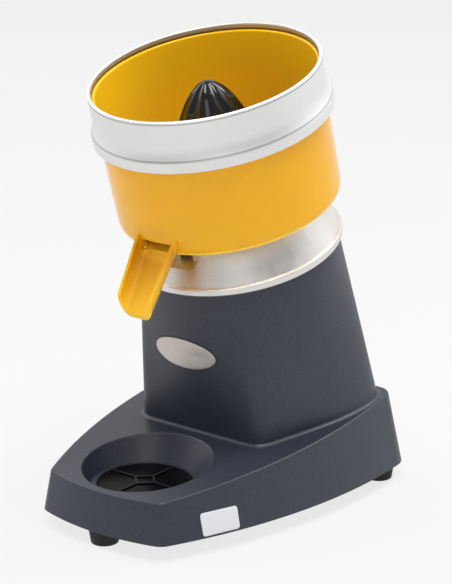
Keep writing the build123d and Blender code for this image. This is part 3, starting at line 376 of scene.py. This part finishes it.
# Stator windings: enamelled copper wire, wound in bundles round the core and varnished.
# Single wires show as fine lines that run round the coil heads.
copper, tree, shader = open_finish("enamelled_copper", metallic=0.75, coat_weight=0.5, coat_roughness=0.15)
lathe = lathe_place(tree, upright_place(tree))
strands = grain(tree, lathe, size=1300.0, detail=1.0)
colour_by(tree, shader, strands, "6d2f12", "c8743a")
rough_by(tree, shader, strands, low=0.45, high=0.28)
rough_skin(tree, shader, strands, depth=0.4 * MM, strength=0.6)
coat(copper, "stator_windings")

# Fan, switch body, cord inlet and its nut: black moulded plastic with a spark-eroded grain.
# They are clipped, pressed or screwed on, and none of them is polished.
moulded, tree, shader = open_finish("black_moulded_plastic", metallic=0.0)
place = object_place(tree)
spark = grain(tree, place, size=1600.0, detail=3.0)
colour_by(tree, shader, spark, "17181a", "232427")
rough_by(tree, shader, spark, low=0.40, high=0.56)
rough_skin(tree, shader, spark, depth=0.08 * MM, strength=0.3)
coat(moulded, "cooling_fan", "switch_body", "cord_gland", "gland_nut")

# Rocker of the switch: glossy black plastic, tipped by a finger.
# Use has rubbed it a little duller in patches.
rocker_black, tree, shader = open_finish("rocker_gloss_plastic", metallic=0.0)
place = object_place(tree)
rubbed = grain(tree, place, size=220.0, detail=3.0)
colour_by(tree, shader, rubbed, "101012", "1a1a1d")
rough_by(tree, shader, rubbed, low=0.16, high=0.34)
coat(rocker_black, "switch_rocker")

# Capacitor can and terminal block: pale moulded nylon on the base plate, inside the plinth.
# The surface is matt, with faint clouds from the moulding.
nylon, tree, shader = open_finish("pale_nylon", metallic=0.0, subsurface_weight=0.1, subsurface_scale=0.002)
place = object_place(tree)
clouds = grain(tree, place, size=90.0, detail=3.0)
colour_by(tree, shader, clouds, "b9b6ab", "cfccc2")
rough_by(tree, shader, clouds, low=0.42, high=0.55)
coat(nylon, "capacitor", "terminal_block")

# Bowl with its spout: one moulding in glossy yellow plastic, lifted off the flange to wash.
# It lets a little light in, and the mould leaves faint ripples. The inside wall is painted lighter, and the
# spout is painted darker at its root as shade and paler to its tip.
BOWL_SKIN = 82.3 * MM
SPOUT_ROOT = 86.0 * MM
SPOUT_TIP = 119.0 * MM
SPOUT_EASE = 4 * MM
yellow, tree, shader = open_finish("bowl_yellow_plastic", metallic=0.0, specular_ior_level=0.28,
                                   subsurface_weight=0.35, subsurface_radius=(1.0, 0.75, 0.12),
                                   subsurface_scale=0.004)
upright = upright_place(tree)
lathe = lathe_place(tree, upright)
flow = grain(tree, upright, size=22.0, detail=2.0)
ripple = grain(tree, upright, size=120.0, detail=1.0)
pigment = blend_colour(tree, flow, tint("e2a514"), tint("e9ae1a"))
radius = wire(tree, "SeparateXYZ", {"Vector": lathe}).outputs["X"]
inside = spread(tree, radius, low=1.0, high=0.0, start=BOWL_SKIN, end=BOWL_SKIN + MM)
outside = spread(tree, radius, low=0.0, high=1.0, start=SPOUT_ROOT, end=SPOUT_ROOT + SPOUT_EASE)
# The inside wall gets a lighter, yellower colour as painted light.
wall_painted_light = blend_colour(tree, inside, pigment, tint("fbc51e"))
# The spout is painted darker at its root as shade and paler towards the tip as light.
along = spread(tree, radius, low=0.0, high=1.0, start=SPOUT_ROOT, end=SPOUT_TIP)
spout_shading = blend_colour(tree, along, tint("cf8d06"), tint("edbb2a"))
tree.links.new(blend_colour(tree, outside, wall_painted_light, spout_shading), shader.inputs["Base Color"])
rough_by(tree, shader, flow, low=0.10, high=0.17)
rough_skin(tree, shader, ripple, depth=0.03 * MM, strength=0.25)
coat(yellow, "bowl")

# Strainer: punched stainless sheet with a turned-up edge, resting on ribs inside the bowl.
# It is bead-blasted to a soft shine.
stainless, tree, shader = open_finish("strainer_stainless", metallic=1.0)
place = object_place(tree)
blasted = grain(tree, place, size=1800.0, detail=2.0)
colour_by(tree, shader, blasted, "a2a3a3", "c0c1c1")
rough_by(tree, shader, blasted, low=0.26, high=0.38)
rough_skin(tree, shader, blasted, depth=0.03 * MM, strength=0.3)
coat(stainless, "strainer")

# Splash ring: a spun aluminium band with a turned-in lip, set loose on the bowl's rim.
# It is brushed round and lacquered to a very bright satin.
# Grey lines under the rim and in the crease, and the dark foot of the lip, are painted shade.
RING_BORE = 84.1 * MM
LIP_FOOT = 335.6 * MM
LIP_TOP = 337.4 * MM
RIM_LINE = 337.9 * MM
CREASE_LINE = 310.5 * MM
LINE_HALF = 0.9 * MM


def painted_shade_line(tree, height, middle):
    """Number that is 1 at a height and falls to 0 over half a line's width on each side."""
    gap = wire(tree, "Math", {0: height, 1: middle}, operation="SUBTRACT").outputs[0]
    apart = wire(tree, "Math", {0: gap}, operation="ABSOLUTE").outputs[0]
    return spread(tree, apart, low=1.0, high=0.0, start=0.0, end=LINE_HALF)


satin, tree, shader = open_finish("ring_satin_aluminium", metallic=1.0)
upright = upright_place(tree)
lathe = lathe_place(tree, upright)
brush = grain(tree, lathe, size=2600.0, detail=2.0)
sheen = grain(tree, upright, size=18.0, detail=2.0)
outer = blend_colour(tree, brush, tint("e6e6e5"), tint("f4f4f3"))
parts = wire(tree, "SeparateXYZ", {"Vector": lathe})
inner = spread(tree, parts.outputs["X"], low=1.0, high=0.0, start=RING_BORE, end=RING_BORE + MM)
# The foot of the lip is darkened as painted shade.
lip_shade = spread(tree, parts.outputs["Y"], low=1.0, high=0.0, start=LIP_FOOT, end=LIP_TOP)
lip = blend_colour(tree, lip_shade, tint("cfccc8"), tint("5c4c38"))
# Grey lines under the rim and in the crease are painted shade.
shade_under_rim = painted_shade_line(tree, parts.outputs["Y"], RIM_LINE)
shade_in_crease = painted_shade_line(tree, parts.outputs["Y"], CREASE_LINE)
painted_shade_lines = wire(tree, "Math", {0: shade_under_rim, 1: shade_in_crease}, operation="MAXIMUM").outputs[0]
band = blend_colour(tree, painted_shade_lines, outer, tint("b0b0b2"))
tree.links.new(blend_colour(tree, inner, band, lip), shader.inputs["Base Color"])
rough_by(tree, shader, sheen, low=0.44, high=0.52)
rough_skin(tree, shader, brush, depth=0.02 * MM, strength=0.2)
coat(satin, "splash_ring")

# Reamer: black plastic with sharp ribs, pushed over the drive pin on the motor shaft.
# It comes glossy from the mould, with a few hairline rubs.
gloss_black, tree, shader = open_finish("reamer_gloss_black", metallic=0.0, ior=1.5)
lathe = lathe_place(tree, upright_place(tree))
rubs = grain(tree, lathe, size=800.0, detail=2.0)
colour_by(tree, shader, rubs, "0b0b0c", "141416")
rough_by(tree, shader, rubs, low=0.05, high=0.12)
rough_skin(tree, shader, rubs, depth=0.02 * MM, strength=0.2)
coat(gloss_black, "reamer")

# Floor: one plain pale plane under the feet, far wider than the view.
# Seen by the camera or in a reflection it is lifted to near white, and it keeps the soft shadow.
FLOOR_HALF = 9.0
FLOOR_LIFT = 0.86
FLOOR_MIRRORED = 0.95


def seen_share(tree):
    """Share of plain white: most for camera rays, nearly all for mirrored and bent rays, else none."""
    path = wire(tree, "LightPath")
    direct = wire(tree, "Math", {0: path.outputs["Is Camera Ray"], 1: FLOOR_LIFT},
                  operation="MULTIPLY").outputs[0]
    bent = wire(tree, "Math", {0: path.outputs["Is Glossy Ray"], 1: path.outputs["Is Transmission Ray"]},
                operation="MAXIMUM").outputs[0]
    mirrored = wire(tree, "Math", {0: bent, 1: FLOOR_MIRRORED}, operation="MULTIPLY").outputs[0]
    return wire(tree, "Math", {0: direct, 1: mirrored}, operation="MAXIMUM").outputs[0]


ground_mesh = bpy.data.meshes.new("floor")
square = np.array([[-1.0, -1.0, 0.0], [1.0, -1.0, 0.0], [1.0, 1.0, 0.0], [-1.0, 1.0, 0.0]]) * FLOOR_HALF
ground_mesh.from_pydata(square.tolist(), [], [(0, 1, 2, 3)])
floor = bpy.data.objects.new("floor", ground_mesh)
bpy.context.scene.collection.objects.link(floor)
pale, tree, shader = open_finish("floor_pale", roughness=0.9, specular_ior_level=0.0)
shader.inputs["Base Color"].default_value = tint("f2f2f2")
glow = wire(tree, "Emission", {"Color": tint("f2f2f2"), "Strength": 1.0}).outputs["Emission"]
mixed = wire(tree, "MixShader", {0: seen_share(tree), 1: shader.outputs["BSDF"], 2: glow}).outputs["Shader"]
tree.links.new(mixed, tree.nodes["Material Output"].inputs["Surface"])
ground_mesh.materials.append(pale)

# World and lamps: a room that is pale behind the object and dim behind the camera.
# One soft box hangs overhead and one stands at the left; two light the edges from behind and one fills.
ROOM_DIM = 0.38
ROOM_BACK = (-0.645, 0.765, 0.0)
world = bpy.data.worlds.new("pale_room")
bpy.context.scene.world = world
world.use_nodes = True
tree = world.node_tree
backdrop = tree.nodes["Background"]
backdrop.inputs["Color"].default_value = tint("f8f8f8")
toward = wire(tree, "TexCoord").outputs["Generated"]
behind = wire(tree, "VectorMath", {0: toward, 1: ROOM_BACK}, operation="DOT_PRODUCT").outputs["Value"]
room = spread(tree, behind, low=ROOM_DIM, high=1.0, start=-0.5, end=0.6)
seen = wire(tree, "LightPath").outputs["Is Camera Ray"]
level = wire(tree, "Math", {0: room, 1: seen}, operation="MAXIMUM").outputs[0]
tree.links.new(level, backdrop.inputs["Strength"])

LAMPS = {
    "top_box": ((0.45, -0.40, 2.20), (1.2, 1.2), 33.0),
    "soft_box": ((-1.80, -0.42, 1.60), (1.5, 1.5), 13.0),
    "rear_box": ((1.60, 1.60, 0.90), (2.4, 1.6), 4.0),
    "edge_box": ((0.45, 0.85, 1.45), (0.6, 0.6), 9.0),
    "fill": ((1.10, -1.70, 1.40), (1.0, 1.0), 5.0),
}
LAMP_AIM = Vector((0.0, 0.0, 0.17))
for lamp_name, (spot, size, watts) in LAMPS.items():
    lamp = bpy.data.lights.new(lamp_name, "AREA")
    lamp.shape = "RECTANGLE"
    lamp.size, lamp.size_y = size
    lamp.energy = watts
    holder = bpy.data.objects.new(lamp_name, lamp)
    holder.location = spot
    holder.rotation_euler = (LAMP_AIM - Vector(spot)).to_track_quat("-Z", "Y").to_euler()
    bpy.context.scene.collection.objects.link(holder)

# Camera: stands to the right of the front and looks a little down, with a long lens.
# Its place and turn come from matching the object's outline.
CAMERA_SPOT = (1.03962, -1.2123, 0.64354)
CAMERA_RIGHT = (0.76679, 0.64179, -0.01186)
CAMERA_UP = (-0.17711, 0.22930, 0.95710)
CAMERA_BACK = (0.61698, -0.7318, 0.28949)
CAMERA_LENS = 138.16
CAMERA_SENSOR = 36.0
lens = bpy.data.cameras.new("camera")
lens.lens = CAMERA_LENS
lens.sensor_width = CAMERA_SENSOR
camera = bpy.data.objects.new("camera", lens)
turned = Matrix((CAMERA_RIGHT, CAMERA_UP, CAMERA_BACK)).transposed().to_quaternion()
camera.matrix_world = Matrix.Translation(CAMERA_SPOT) @ turned.to_matrix().to_4x4()
bpy.context.scene.collection.objects.link(camera)
bpy.context.scene.camera = camera
bpy.context.scene.view_settings.view_transform = "Standard"
